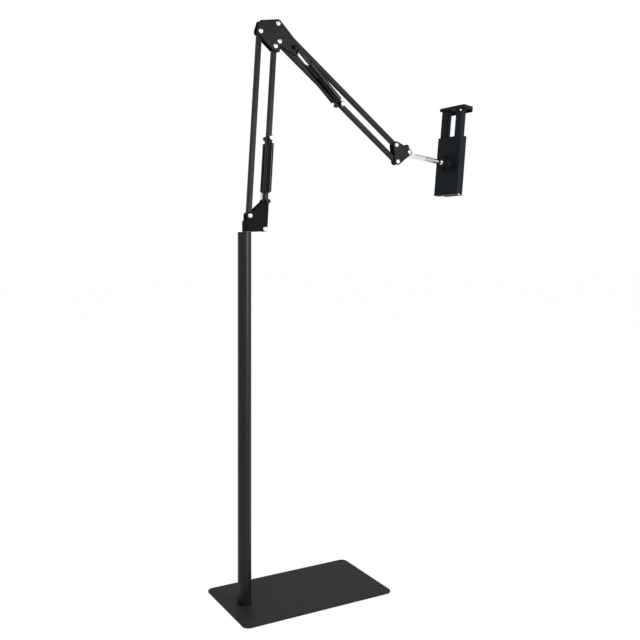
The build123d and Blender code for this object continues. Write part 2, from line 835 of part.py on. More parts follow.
# Holder shell with the ball's seat, and its cover
cavity_half = rail_inner + rail_width + slide_fit
shell_height = shell_top - shell_bottom
shell_middle = (shell_top + shell_bottom) / 2
cover_start = shell_depth - shell_wall
screw_a = shell_half_width - shell_screw_inset
screw_top = shell_top - shell_screw_inset
screw_bottom_b = shell_bottom + shell_screw_inset
screw_spots = [(a, -b) for a in (-screw_a, screw_a) for b in (screw_top, screw_bottom_b)]
sole_screw_spots = [(a, shell_depth / 2) for a in (-screw_a, screw_a)]
back_screw_b = rail_top - back_screw_drop
top_screw_n = shell_wall + slide_fit + jaw_screw_head_r
with BuildPart() as holder_shell:
    with BuildSketch(holder_plane.offset(shell_bottom)) as shell_outline:
        with Locations((0, cover_start / 2)):
            Rectangle(2 * shell_half_width, cover_start)
        fillet(shell_outline.vertices().group_by(Axis.Y)[0], shell_edge_r)
    extrude(amount=shell_height)
    with BuildSketch(holder_plane.offset(shell_bottom + shell_floor)):
        with Locations((0, (shell_wall + cover_start) / 2)):
            Rectangle(2 * cavity_half, cover_start - shell_wall)
    extrude(amount=shell_height, mode=Mode.SUBTRACT)
    with BuildSketch(spin_plane.offset(-boss_h)):
        Circle(boss_r)
    extrude(amount=boss_h)
    with BuildSketch(spin_plane.offset(-boss_neck_h)):
        Circle(boss_neck_r)
    extrude(amount=boss_neck_h)
    with BuildSketch(spin_plane.offset(cover_start - shell_screw_depth)):
        with Locations(screw_spots):
            Circle(shell_screw_r + press_fit)
    extrude(amount=shell_screw_depth, mode=Mode.SUBTRACT)
    with Locations(spin_plane.offset(-ball_to_back).location):
        Sphere(ball_r + ball_fit, mode=Mode.SUBTRACT)
save(holder_shell.part, "holder_shell")

with BuildPart() as holder_cover:
    with BuildSketch(spin_plane.offset(cover_start)):
        with Locations((0, -shell_middle)):
            Rectangle(2 * shell_half_width, shell_height)
    extrude(amount=shell_wall)
    with BuildSketch(spin_plane.offset(cover_start)):
        with Locations(screw_spots):
            Circle(shell_screw_r + press_fit)
    extrude(amount=shell_wall, mode=Mode.SUBTRACT)
    with BuildSketch(spin_plane.offset(shell_depth - shell_screw_head_h)):
        with Locations(screw_spots):
            Circle(shell_screw_head_r + press_fit)
    extrude(amount=shell_screw_head_h, mode=Mode.SUBTRACT)
save(holder_cover.part, "holder_cover")

with BuildPart() as shell_screws:
    with BuildSketch(spin_plane.offset(cover_start - shell_screw_depth + seat_gap)):
        with Locations(screw_spots):
            Circle(shell_screw_r)
    extrude(amount=shell_screw_depth - seat_gap + shell_wall - shell_screw_head_h)
    with BuildSketch(spin_plane.offset(shell_depth - shell_screw_head_h)):
        with Locations(screw_spots):
            Circle(shell_screw_head_r)
    extrude(amount=shell_screw_head_h)
save(shell_screws.part, "shell_screws")

# Jaws: lower jaw with a hooked shelf under the shell, hooked upper jaw on the slider's rails
lower_pad_top = rail_top - pad_height - jaw_opening
lower_jaw_top = lower_pad_top - pad_height
lower_jaw_bottom = shell_bottom - sole_thickness
with BuildPart() as lower_jaw:
    with BuildSketch(holder_plane.offset(lower_jaw_bottom)):
        with Locations((0, shell_depth / 2)):
            Rectangle(2 * shell_half_width, shell_depth)
    extrude(amount=sole_thickness)
    with BuildSketch(holder_plane.offset(lower_jaw_bottom)):
        with Locations((0, (shell_depth + jaw_depth) / 2)):
            Rectangle(2 * shelf_half_width, jaw_depth - shell_depth)
    extrude(amount=lower_jaw_top - lower_jaw_bottom)
    with BuildSketch(holder_plane.offset(lower_jaw_bottom)):
        with Locations((0, jaw_depth - lip_depth / 2)):
            Rectangle(2 * shelf_half_width, lip_depth)
    extrude(amount=lower_jaw_top - lower_jaw_bottom + lip_drop)
    front_edges = lower_jaw.faces().sort_by(Axis(back_centre, outward))[-1].edges()
    fillet(front_edges.sort_by(Axis(back_centre, upward))[0], shelf_round)
    with BuildSketch(holder_plane.offset(lower_jaw_bottom)):
        with Locations(sole_screw_spots):
            Circle(jaw_screw_r + press_fit)
    extrude(amount=sole_thickness, mode=Mode.SUBTRACT)
save(lower_jaw.part, "lower_jaw")

with BuildPart() as sole_screws:
    with BuildSketch(holder_plane.offset(lower_jaw_bottom - jaw_screw_head_h)):
        with Locations(sole_screw_spots):
            Circle(jaw_screw_head_r)
    extrude(amount=jaw_screw_head_h)
    with BuildSketch(holder_plane.offset(lower_jaw_bottom)):
        with Locations(sole_screw_spots):
            Circle(jaw_screw_r)
    extrude(amount=sole_thickness)
save(sole_screws.part, "sole_screws")

pad_middle = shell_depth + pad_depth / 2
with BuildPart() as lower_pad:
    with BuildSketch(holder_plane.offset(lower_jaw_top)):
        with Locations((0, pad_middle)):
            Rectangle(2 * lower_pad_half_width, pad_depth)
    extrude(amount=pad_height)
save(lower_pad.part, "lower_pad")

rail_back = shell_wall + slide_fit
rail_depth = cover_start - slide_fit - rail_back
rail_middle = rail_back + rail_depth / 2
rail_centre = rail_inner + rail_width / 2
with BuildPart() as slider_frame:
    with BuildSketch(holder_plane.offset(rail_bottom)):
        with Locations((-rail_centre, rail_middle), (rail_centre, rail_middle)):
            Rectangle(rail_width, rail_depth)
    extrude(amount=rail_top - rail_bottom)
    with BuildSketch(holder_plane.offset(rail_bottom)):
        with Locations((0, rail_middle)):
            Rectangle(2 * rail_inner, rail_depth)
    extrude(amount=cross_height)
    with BuildSketch(spin_plane.offset(rail_back)):
        with Locations((jaw_screw_a, -back_screw_b)):
            Circle(jaw_screw_r + press_fit)
    extrude(amount=back_screw_depth, mode=Mode.SUBTRACT)
    with BuildSketch(holder_plane.offset(rail_top - top_screw_depth)):
        with Locations((jaw_screw_a, top_screw_n)):
            Circle(jaw_screw_r + press_fit)
    extrude(amount=top_screw_depth, mode=Mode.SUBTRACT)
save(slider_frame.part, "slider_frame")

with BuildPart() as upper_jaw:
    with BuildSketch(holder_plane.offset(rail_top)):
        with Locations((0, jaw_depth / 2)):
            Rectangle(2 * jaw_half_width, jaw_depth)
    extrude(amount=jaw_height)
    long_edges = upper_jaw.edges().filter_by(Axis(back_centre, across))
    fillet(long_edges.sort_by(Axis(back_centre, upward))[-2:], jaw_round)
    with BuildSketch(holder_plane.offset(rail_top - lip_drop)):
        with Locations((0, jaw_depth - lip_depth / 2)):
            Rectangle(2 * jaw_half_width, lip_depth)
    extrude(amount=lip_drop)
    with BuildSketch(holder_plane.offset(rail_top)):
        with Locations((jaw_screw_a, top_screw_n)):
            Circle(jaw_screw_r + press_fit)
    extrude(amount=jaw_height, mode=Mode.SUBTRACT)
save(upper_jaw.part, "upper_jaw")

with BuildPart() as upper_pad:
    with BuildSketch(holder_plane.offset(rail_top - pad_height)):
        with Locations((0, pad_middle)):
            Rectangle(2 * pad_half_width, pad_depth)
    extrude(amount=pad_height)
save(upper_pad.part, "upper_pad")

with BuildPart() as jaw_screws:
    with BuildSketch(spin_plane.offset(rail_back - jaw_screw_head_h)):
        with Locations((jaw_screw_a, -back_screw_b)):
            Circle(jaw_screw_head_r)
    extrude(amount=jaw_screw_head_h)
    with BuildSketch(spin_plane.offset(rail_back)):
        with Locations((jaw_screw_a, -back_screw_b)):
            Circle(jaw_screw_r)
    extrude(amount=back_screw_depth - seat_gap)
    with BuildSketch(holder_plane.offset(rail_top - top_screw_depth + seat_gap)):
        with Locations((jaw_screw_a, top_screw_n)):
            Circle(jaw_screw_r)
    extrude(amount=top_screw_depth - seat_gap + jaw_height)
    with BuildSketch(holder_plane.offset(rail_top + jaw_height)):
        with Locations((jaw_screw_a, top_screw_n)):
            Circle(jaw_screw_head_r)
    extrude(amount=jaw_screw_head_h)
save(jaw_screws.part, "jaw_screws")

spring_floor = shell_bottom + shell_floor + seat_gap
with BuildPart() as jaw_springs:
    with BuildSketch(holder_plane.offset(spring_floor)):
        with Locations((-jaw_spring_a, rail_middle), (jaw_spring_a, rail_middle)):
            Circle(jaw_spring_r)
    extrude(amount=rail_bottom - seat_gap - spring_floor)
save(jaw_springs.part, "jaw_springs")
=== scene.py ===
import json
import math
import bmesh
import bpy
from mathutils import Matrix, Vector


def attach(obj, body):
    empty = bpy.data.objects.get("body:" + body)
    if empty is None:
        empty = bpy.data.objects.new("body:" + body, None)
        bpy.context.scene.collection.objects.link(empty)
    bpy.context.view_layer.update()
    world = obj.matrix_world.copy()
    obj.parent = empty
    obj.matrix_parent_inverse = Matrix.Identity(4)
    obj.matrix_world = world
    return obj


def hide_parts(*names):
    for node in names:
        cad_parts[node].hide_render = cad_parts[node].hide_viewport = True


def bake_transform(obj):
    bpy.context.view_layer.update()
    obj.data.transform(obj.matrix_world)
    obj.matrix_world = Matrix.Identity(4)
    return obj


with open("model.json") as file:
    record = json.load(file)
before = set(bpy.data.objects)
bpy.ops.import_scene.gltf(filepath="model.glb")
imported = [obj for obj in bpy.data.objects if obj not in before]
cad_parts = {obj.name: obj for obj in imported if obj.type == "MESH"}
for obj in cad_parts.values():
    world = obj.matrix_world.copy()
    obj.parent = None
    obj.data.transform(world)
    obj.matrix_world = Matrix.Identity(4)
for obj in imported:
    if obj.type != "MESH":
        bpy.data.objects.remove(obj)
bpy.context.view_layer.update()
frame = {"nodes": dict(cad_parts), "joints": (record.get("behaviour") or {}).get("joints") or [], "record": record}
cadNodes = frame["nodes"]
bodyOf = {node: body for body, nodes in frame["record"]["behaviour"]["bodies"].items() for node in nodes}
slotOf = {part["node"]: part["material_slot"] for part in frame["record"]["subparts"]}
jointPlace = {joint["name"]: Vector(joint["pos_m"]) for joint in frame["joints"] if "pos_m" in joint}
jointAxis = {joint["name"]: Vector(joint["axis"]) for joint in frame["joints"]}
print("stage: frame loaded,", len(cadNodes), "nodes")

perMetre = 1000  # the tables below are in millimetres and degrees, the scene is in metres


def scenePoint(*millimetres):
    return Vector(millimetres) / perMetre


def linearColour(hexColour):  # sRGB hex to the linear values that Blender stores
    parts = [int(hexColour[i:i + 2], 16) / 255 for i in (1, 3, 5)]
    return tuple(c / 12.92 if c <= 0.04045 else ((c + 0.055) / 1.055) ** 2.4 for c in parts) + (1.0,)


def addObject(name, data):
    obj = bpy.data.objects.new(name, data)
    bpy.context.scene.collection.objects.link(obj)
    return obj


def emptyTree(owner):  # the node tree of a world or material, with nothing in it yet
    owner.use_nodes = True
    owner.node_tree.nodes.clear()
    return owner.node_tree


def addNode(tree, kind, inputs=None, **settings):
    # a node given as an input stands for its first output, and a list is linked to one socket in its order
    node = tree.nodes.new(kind)
    for key, value in settings.items():
        setattr(node, key, value)
    for socket, value in (inputs or {}).items():
        for source in value if isinstance(value, list) else [value]:
            if isinstance(source, bpy.types.Node):
                source = source.outputs[0]
            if isinstance(source, bpy.types.NodeSocket):
                tree.links.new(source, node.inputs[socket])
            else:
                node.inputs[socket].default_value = source
    return node


# camera: level, at the pole top's height, as the photograph shows no tilt
cameraSetup = {
    "position": (-628.5, -1407.3, 682.0), "turn": -29.2, "lens": 47.25, "sensor": 36.0, "shift": -0.1375,
}
cameraData = bpy.data.cameras.new("standCamera")
cameraData.lens = cameraSetup["lens"]
cameraData.sensor_width = cameraSetup["sensor"]
cameraData.shift_y = cameraSetup["shift"]
camera = addObject("standCamera", cameraData)
camera.location = scenePoint(*cameraSetup["position"])
camera.rotation_euler = (math.radians(90), 0, math.radians(cameraSetup["turn"]))
bpy.context.scene.camera = camera


# studio: white sweep, even world light and two soft lamps
white = (1, 1, 1, 1)
studio = {
    "worldLight": 0.62,  # what the surroundings give the object
    "paperColour": (0.9, 0.9, 0.9, 1),
    "floorShade": 0.05,  # share of the floor that keeps the object's shadow
    "floorGlow": 1.015,  # makes up for what the shaded share takes from the white
    "floorReach": 12000,  # from the middle to each side
    # a dark ceiling that gloss shows: heights where it starts and is full, and its light
    "ceiling": (0.5, 0.9, 0.3),
    "lamps": {
        "keyLamp": {"place": (-1500, -1500, 2300), "aim": (150, 0, 700), "size": (1400, 1400), "power": 20},
        "sideLamp": {"place": (1080, -1950, 930), "aim": (60, 0, 800), "size": (560, 1000), "power": 42},
    },
}


def seenWhite(tree):  # 1 for rays that see the backdrop: straight, mirrored or through glass
    ray = addNode(tree, "ShaderNodeLightPath").outputs
    mirrored = addNode(tree, "ShaderNodeMath", {0: ray["Is Camera Ray"], 1: ray["Is Glossy Ray"]},
                       operation="MAXIMUM")
    return addNode(tree, "ShaderNodeMath", {0: mirrored, 1: ray["Is Transmission Ray"]}, operation="MAXIMUM")


def makeWorld():
    world = bpy.data.worlds.new("studioWorld")
    bpy.context.scene.world = world
    tree = emptyTree(world)
    start, full, dim = studio["ceiling"]
    place = addNode(tree, "ShaderNodeTexCoord").outputs["Generated"]
    way = addNode(tree, "ShaderNodeSeparateXYZ", {0: place})
    overhead = addNode(tree, "ShaderNodeMapRange", {
        "Value": way.outputs["Z"], "From Min": start, "From Max": full, "To Min": 1.0, "To Max": dim})
    ray = addNode(tree, "ShaderNodeLightPath").outputs
    straight = addNode(tree, "ShaderNodeMath", {0: overhead, 1: ray["Is Camera Ray"]}, operation="MAXIMUM")
    strength = addNode(tree, "ShaderNodeMapRange", {
        "Value": seenWhite(tree), "To Min": studio["worldLight"], "To Max": straight})
    light = addNode(tree, "ShaderNodeBackground", {"Color": white, "Strength": strength})
    addNode(tree, "ShaderNodeOutputWorld", {"Surface": light})


def makeFloor():
    paper = bpy.data.materials.new("whiteSweepPaper")
    tree = emptyTree(paper)
    matt = addNode(tree, "ShaderNodeBsdfDiffuse", {"Color": studio["paperColour"]})
    glow = addNode(tree, "ShaderNodeEmission", {"Color": white, "Strength": studio["floorGlow"]})
    share = addNode(tree, "ShaderNodeMath", {0: seenWhite(tree), 1: 1 - studio["floorShade"]},
                    operation="MULTIPLY")
    mixed = addNode(tree, "ShaderNodeMixShader", {0: share, 1: matt, 2: glow})
    addNode(tree, "ShaderNodeOutputMaterial", {"Surface": mixed})

    mesh = bpy.data.meshes.new("studioFloor")
    reach = studio["floorReach"] / perMetre
    corners = [(-reach, -reach, 0), (reach, -reach, 0), (reach, reach, 0), (-reach, reach, 0)]
    mesh.from_pydata(corners, [], [(0, 1, 2, 3)])
    mesh.materials.append(paper)
    floor = addObject("studioFloor", mesh)


def makeLamps():
    for name, lamp in studio["lamps"].items():
        data = bpy.data.lights.new(name, "AREA")
        data.shape = "RECTANGLE"
        data.size, data.size_y = (side / perMetre for side in lamp["size"])
        data.energy = lamp["power"]
        obj = addObject(name, data)
        obj.location = scenePoint(*lamp["place"])
        obj.rotation_euler = (scenePoint(*lamp["aim"]) - obj.location).to_track_quat("-Z", "Y").to_euler()


makeWorld()
makeFloor()
makeLamps()
bpy.context.scene.view_settings.view_transform = "Standard"
print("stage: camera and studio")


# finishes: two tones, roughness and how far it wanders, size and depth of the grain
finishes = {
    # powder coat, fine texture: baked polyester with a pebbled skin that scatters light, no clear highlight
    "texturedPowderCoat": {
        "colour": "#1c1c1c", "shade": "#2a2a2a", "roughness": 0.62, "spread": 0.1,
        "grain": 2.4, "depth": 0.16, "ior": 1.4, "specular": 0.14,
    },
    # powder coat, satin: same paint flowed smooth, a wide soft highlight with a faint orange peel
    "satinPowderCoat": {
        "colour": "#0c0c0c", "shade": "#121211", "roughness": 0.34, "spread": 0.06,
        "grain": 3.5, "depth": 0.02, "ior": 1.4, "specular": 0.09,
    },
    # powder coat, half gloss: a thicker coat that flowed out on the round tube, a brighter, narrower streak
    "halfGlossPowderCoat": {
        "colour": "#0d0d0d", "shade": "#131312", "roughness": 0.37, "spread": 0.03,
        "grain": 5.0, "depth": 0.0, "ior": 1.4, "specular": 0.33,
    },
    # powder coat, matt: cured with a flatting agent, so the swivel stays almost without a highlight
    "mattPowderCoat": {
        "colour": "#0e0e0d", "shade": "#161614", "roughness": 0.7, "spread": 0.08,
        "grain": 2.0, "depth": 0.06, "ior": 1.4, "specular": 0.06,
    },
    # acetal and nylon mouldings, black: low gloss with a slight haze
    "blackNylon": {
        "colour": "#070707", "shade": "#0e0e0e", "roughness": 0.5, "spread": 0.08,
        "grain": 1.6, "depth": 0.04, "ior": 1.4, "specular": 0.12,
    },
    # ABS, moulded in a spark-eroded tool: even fine grain, cool near-black
    "mouldedAbs": {
        "colour": "#13171a", "shade": "#1b2023", "roughness": 0.5, "spread": 0.08,
        "grain": 1.2, "depth": 0.05, "ior": 1.45, "specular": 0.06,
    },
    # PVC tube, extruded and smooth: the glossiest black on the stand
    "extrudedPvc": {
        "colour": "#050505", "shade": "#0a0a0a", "roughness": 0.22, "spread": 0.05,
        "grain": 6.0, "depth": 0.0, "ior": 1.5, "specular": 0.13,
    },
    # silicone rubber, moulded: dull and soft, no highlight
    "siliconeRubber": {
        "colour": "#101010", "shade": "#171717", "roughness": 0.85, "spread": 0.05,
        "grain": 1.0, "depth": 0.06, "ior": 1.4, "specular": 0.15,
    },
    # chrome plate on turned steel: a clear mirror
    "chromePlate": {
        "colour": "#dcdcde", "shade": "#e4e4e6", "roughness": 0.07, "spread": 0.04,
        "grain": 8.0, "depth": 0.0, "metal": 1.0,
    },
    # satin chrome on the thin rod: the same plate over a less polished turning, so greyer and softer
    "satinChrome": {
        "colour": "#b2b6b4", "shade": "#bcc0be", "roughness": 0.13, "spread": 0.04,
        "grain": 6.0, "depth": 0.0, "metal": 1.0,
    },
    # zinc plate on turned steel: pale, slightly cloudy
    "zincPlate": {
        "colour": "#a9adb0", "shade": "#bcc0c2", "roughness": 0.32, "spread": 0.1,
        "grain": 4.0, "depth": 0.02, "metal": 1.0,
    },
    # black oxide on steel: thin dark film, metal gloss at the corners
    "blackOxide": {
        "colour": "#161617", "shade": "#202022", "roughness": 0.36, "spread": 0.1,
        "grain": 2.0, "depth": 0.03, "metal": 1.0,
    },
    # spring steel, drawn and oil tempered: dark grey wire with a dull shine
    "temperedWire": {
        "colour": "#3c3c3c", "shade": "#4c4c4b", "roughness": 0.42, "spread": 0.1,
        "grain": 1.5, "depth": 0.02, "metal": 1.0,
    },
}
surfaceRule = {
    "cloudGrains": 9,  # the slow cloud is this many grains wide
    "toneBand": (0.14, 0.38),  # cloud times grain, from all of the first tone to all of the second
    "glossBand": (0.3, 0.7),  # cloud, from the lowest roughness to the highest
    "bumpGain": 4, "bumpLeast": 0.02,  # bump strength from the depth, and what it has at no depth
    "bumpHeight": 0.25,  # as a share of the grain
}


def makeFinish(name, look):
    material = bpy.data.materials.new(name)
    tree = emptyTree(material)
    place = addNode(tree, "ShaderNodeTexCoord").outputs["Object"]
    cloud = addNode(tree, "ShaderNodeTexNoise", {
        "Vector": place, "Scale": perMetre / (look["grain"] * surfaceRule["cloudGrains"]),
        "Detail": 3.0, "Roughness": 0.55})
    grain = addNode(tree, "ShaderNodeTexNoise", {
        "Vector": place, "Scale": perMetre / look["grain"], "Detail": 2.0, "Roughness": 0.6})
    blend = addNode(tree, "ShaderNodeMath", {0: cloud, 1: grain}, operation="MULTIPLY")
    toneLow, toneHigh = surfaceRule["toneBand"]
    tone = addNode(tree, "ShaderNodeMapRange", {"Value": blend, "From Min": toneLow, "From Max": toneHigh})
    colour = addNode(tree, "ShaderNodeMix", {
        "Factor": tone, "A": linearColour(look["colour"]), "B": linearColour(look["shade"])},
        data_type="RGBA")
    glossLow, glossHigh = surfaceRule["glossBand"]
    gloss = addNode(tree, "ShaderNodeMapRange", {
        "Value": cloud, "From Min": glossLow, "From Max": glossHigh,
        "To Min": look["roughness"] - look["spread"] / 2, "To Max": look["roughness"] + look["spread"] / 2})
    strength = min(1.0, look["depth"] * surfaceRule["bumpGain"] + surfaceRule["bumpLeast"])
    bump = addNode(tree, "ShaderNodeBump", {
        "Height": grain, "Strength": strength,
        "Distance": look["grain"] * surfaceRule["bumpHeight"] / perMetre})
    inputs = {
        "Base Color": colour.outputs["Result"], "Roughness": gloss, "Normal": bump,
        "Metallic": look.get("metal", 0.0),
    }
    if "ior" in look:
        inputs.update({"IOR": look["ior"], "Specular IOR Level": look["specular"]})
    surface = addNode(tree, "ShaderNodeBsdfPrincipled", inputs)
    addNode(tree, "ShaderNodeOutputMaterial", {"Surface": surface})
    return material


finish = {name: makeFinish(name, look) for name, look in finishes.items()}
finishOfSlot = {
    "textured_black": "texturedPowderCoat", "satin_black": "satinPowderCoat", "black_plastic": "blackNylon",
    "holder_plastic": "mouldedAbs", "sleeve_plastic": "extrudedPvc", "spring_black": "temperedWire",
    "black_oxide": "blackOxide", "zinc": "zincPlate", "chrome": "chromePlate", "nylon": "blackNylon",
    "rubber": "siliconeRubber",
}
finishOfNode = {node: finishOfSlot[slot] for node, slot in slotOf.items()}
for node in ("base_bracket_near", "base_bracket_far", "swivel_block"):
    finishOfNode[node] = "mattPowderCoat"
finishOfNode["pole_tube"] = "halfGlossPowderCoat"


def dress(obj, *names):
    obj.data.materials.clear()
    for name in names:
        obj.data.materials.append(finish[name])


def settle(piece, node):  # the piece stands for a CAD node and rides on its body
    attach(piece, bodyOf[node])
    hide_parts(node)


for node, obj in cadNodes.items():
    dress(obj, finishOfNode[node])
print("stage: finishes,", len(finish))


# pieces that keep the solid's form and get their real rounded edges: radius of the edge, and its segments
edgeRounding = {
    "base_plate": (0.5, 3), "pole_foot": (0.25, 2), "pole_bush": (0.5, 2), "swivel_block": (0.45, 3),
    "base_bracket_near": (0.45, 3), "base_bracket_far": (0.45, 3),
    "lower_rear_tube": (0.9, 4), "lower_front_tube": (0.9, 4),
    "upper_top_tube": (0.9, 4), "upper_under_tube": (0.9, 4),
    "elbow_plate_near": (0.45, 3), "elbow_plate_far": (0.45, 3),
    "head_plate_near": (0.45, 3), "head_plate_far": (0.45, 3),
    "lower_sleeve_near": (0.3, 2), "lower_sleeve_far": (0.3, 2),
    "upper_sleeve_near": (0.3, 2), "upper_sleeve_far": (0.3, 2),
    "tilt_knob": (0.4, 3), "lock_ring": (0.3, 2), "swivel_pin": (0.3, 2),
    "holder_shell": (0.5, 3), "slider_frame": (0.5, 3), "upper_jaw": (0.6, 3), "lower_jaw": (0.6, 3),
}
squareTubes = ("lower_rear_tube", "lower_front_tube", "upper_top_tube", "upper_under_tube")
tubeSkin = 4.4  # a square tube's side faces lie further than this from the tube's middle
mergeReach = 0.002  # corners of a solid's mesh that are closer than this are one corner
flatAngle = 0.5  # faces that meet at less than this are one face
cornerAngle = 38  # edges that turn more than this are real corners
studAngle = 30  # the same for the ball stud


def openSolid(node):  # a copy of a CAD node's mesh with its corners merged, ready to be changed
    shape = bmesh.new()
    shape.from_mesh(cadNodes[node].data)
    bmesh.ops.remove_doubles(shape, verts=shape.verts, dist=mergeReach / perMetre)
    return shape


def closeSolid(node, shape, sharpAngle):  # smooth faces, sharp edges where they turn more than the angle
    for face in shape.faces:
        face.smooth = True
    for edge in shape.edges:
        edge.smooth = edge.calc_face_angle(0) < math.radians(sharpAngle)
    mesh = cadNodes[node].data.copy()
    shape.to_mesh(mesh)
    shape.free()
    return addObject(node + "_form", mesh)


def onTubeSkin(edge):  # the four long edges and the rounded ends' outer rims, not the pivot holes
    return all(abs(corner.co.y) > tubeSkin / perMetre for corner in edge.verts)


def roundedCopy(node, radius, steps):
    shape = openSolid(node)
    flat = math.radians(flatAngle)
    bmesh.ops.dissolve_limit(shape, angle_limit=flat, verts=shape.verts, edges=shape.edges)
    weight = shape.edges.layers.float.new("bevel_weight_edge")
    for edge in shape.edges:
        turned = len(edge.link_faces) == 2 and edge.calc_face_angle(0) > math.radians(cornerAngle)
        if turned and edge.is_convex and (node not in squareTubes or onTubeSkin(edge)):
            edge[weight] = 1.0
    piece = closeSolid(node, shape, cornerAngle)
    rounding = piece.modifiers.new("rounding", "BEVEL")
    rounding.limit_method = "WEIGHT"
    rounding.width = radius / perMetre
    rounding.segments = steps
    rounding.use_clamp_overlap = False
    rounding.harden_normals = True
    dress(piece, finishOfNode[node])
    settle(piece, node)


for node, (radius, steps) in edgeRounding.items():
    roundedCopy(node, radius, steps)
print("stage: rounded forms,", len(edgeRounding))


# ball stud: satin chrome rod and ball, a black gap at the stem's joint, and black painted on the neck and the
# ball's front as a painted reflection of the dark lock ring
jointGapAndPaintedReflectionBands = ((-0.1, 1.5), (30.9, 40.4))  # where the black starts and ends, from the stem's joint


def makeBallStud():
    joint, along = jointPlace["stem_roll"], jointAxis["stem_roll"]
    shape = openSolid("ball_stud")
    for distance in (limit for band in jointGapAndPaintedReflectionBands for limit in band):
        everything = shape.verts[:] + shape.edges[:] + shape.faces[:]
        cut = joint + along * distance / perMetre
        bmesh.ops.bisect_plane(shape, geom=everything, plane_co=cut, plane_no=along)
    for face in shape.faces:
        reach = (face.calc_center_median() - joint).dot(along) * perMetre
        # faces in a band get black: in the first band the dark gap at the stem's joint, in the second a painted
        # reflection of the lock ring on the chrome
        face.material_index = int(any(start < reach < end for start, end in jointGapAndPaintedReflectionBands))
    piece = closeSolid("ball_stud", shape, studAngle)
    dress(piece, "satinChrome", "blackNylon")
    settle(piece, "ball_stud")


makeBallStud()
print("stage: ball stud")


# what repeats or follows a rule is grown with Geometry Nodes
def newRule(name, inputs):
    tree = bpy.data.node_groups.new(name, "GeometryNodeTree")
    tree.interface.new_socket(name="Geometry", in_out="INPUT", socket_type="NodeSocketGeometry")
    for label, kind in inputs.items():
        tree.interface.new_socket(name=label, in_out="INPUT", socket_type="NodeSocket" + kind)
    tree.interface.new_socket(name="Finish", in_out="INPUT", socket_type="NodeSocketMaterial")
    tree.interface.new_socket(name="Geometry", in_out="OUTPUT", socket_type="NodeSocketGeometry")
    return tree, addNode(tree, "NodeGroupInput").outputs


def closeRule(tree, given, geometry):
    solid = addNode(tree, "GeometryNodeRealizeInstances", {"Geometry": geometry})
    painted = addNode(tree, "GeometryNodeSetMaterial", {"Geometry": solid, "Material": given["Finish"]})
    addNode(tree, "NodeGroupOutput", {"Geometry": painted})
    return tree


def lifted(tree, shape, height, share):  # the shape, raised by a share of a height
    rise = addNode(tree, "ShaderNodeMath", {0: height, 1: share}, operation="MULTIPLY")
    place = addNode(tree, "ShaderNodeCombineXYZ", {"Z": rise})
    return addNode(tree, "GeometryNodeTransform", {"Geometry": shape, "Translation": place})


def grow(name, tree, seedPoints, seedEdges, values, material):
    # runs a rule on a few points and keeps the plain mesh
    seed = bpy.data.meshes.new(name + "Seed")
    seed.from_pydata(seedPoints, seedEdges, [])
    obj = addObject(name, seed)
    rule = obj.modifiers.new("rule", "NODES")
    rule.node_group = tree
    for item in tree.interface.items_tree:
        if item.in_out == "INPUT" and item.name in values:
            rule[item.identifier] = values[item.name]
        if item.name == "Finish":
            rule[item.identifier] = material
    graph = bpy.context.evaluated_depsgraph_get()
    plain = bpy.data.meshes.new_from_object(obj.evaluated_get(graph), depsgraph=graph)
    obj.modifiers.clear()
    obj.data = plain
    return obj


def putAlong(piece, place, x, y, z):  # from the origin to a place, with its axes along three directions
    piece.data.transform(Matrix.Translation(place) @ Matrix((x, y, z)).transposed().to_4x4())


def shadeByAngle(piece, degrees):  # smooth faces, sharp where they meet at more than this
    piece.data.shade_smooth()
    piece.data.set_sharp_from_angle(angle=math.radians(degrees))


def joined(name, pieces):
    shape = bmesh.new()
    for piece in pieces:
        shape.from_mesh(piece.data)
    pieces[0].name = name
    shape.to_mesh(pieces[0].data)
    shape.free()
    for piece in pieces[1:]:
        bpy.data.objects.remove(piece)
    return pieces[0]


# places that the springs, bolts and nuts share, from the joints
lowerPair = jointPlace["lower_front_fold"] - jointPlace["lower_fold"]
upperPair = jointPlace["upper_under_fold"] - jointPlace["upper_fold"]
pivots = {
    "base": [jointPlace["lower_fold"], jointPlace["lower_front_fold"]],
    "elbow": [
        jointPlace["elbow_level"], jointPlace["elbow_level"] + lowerPair,
        jointPlace["upper_fold"], jointPlace["upper_under_fold"],
    ],
    "head": [jointPlace["head_level"], jointPlace["head_level"] + upperPair],
    "tilt": [jointPlace["head_tilt"]],
    "lowerBolt": [jointPlace["lower_sleeve_swing"]],
    "upperBolt": [jointPlace["upper_sleeve_swing"]],
    "lowerAnchor": [jointPlace["lower_spring_swing"]],
    "upperAnchor": [jointPlace["upper_spring_swing"]],
}


def beside(place, y):  # the same point, y millimetres across the arm
    return Vector((place.x, y / perMetre, place.z))


# tension springs: close curls and a hook round the anchor stud
springs = {
    "coilRadius": 3.1, "wireRadius": 0.6, "pitch": 1.34, "stepsPerTurn": 18, "wireSides": 8, "side": 11.5,
    # each coil is just long enough to reach its sleeve's mouth at the fold that stretches the spring most
    "lower": {"coilStart": 16.0, "coilEnd": 46.0},
    "upper": {"coilStart": 9.0, "coilEnd": 66.0},
    # the hook: where its open end stops, how far before the first curl it starts to turn in, and its steps
    "hookEnd": 2.6, "hookRise": 3.2, "loopSteps": 16, "riseSteps": 12,
}


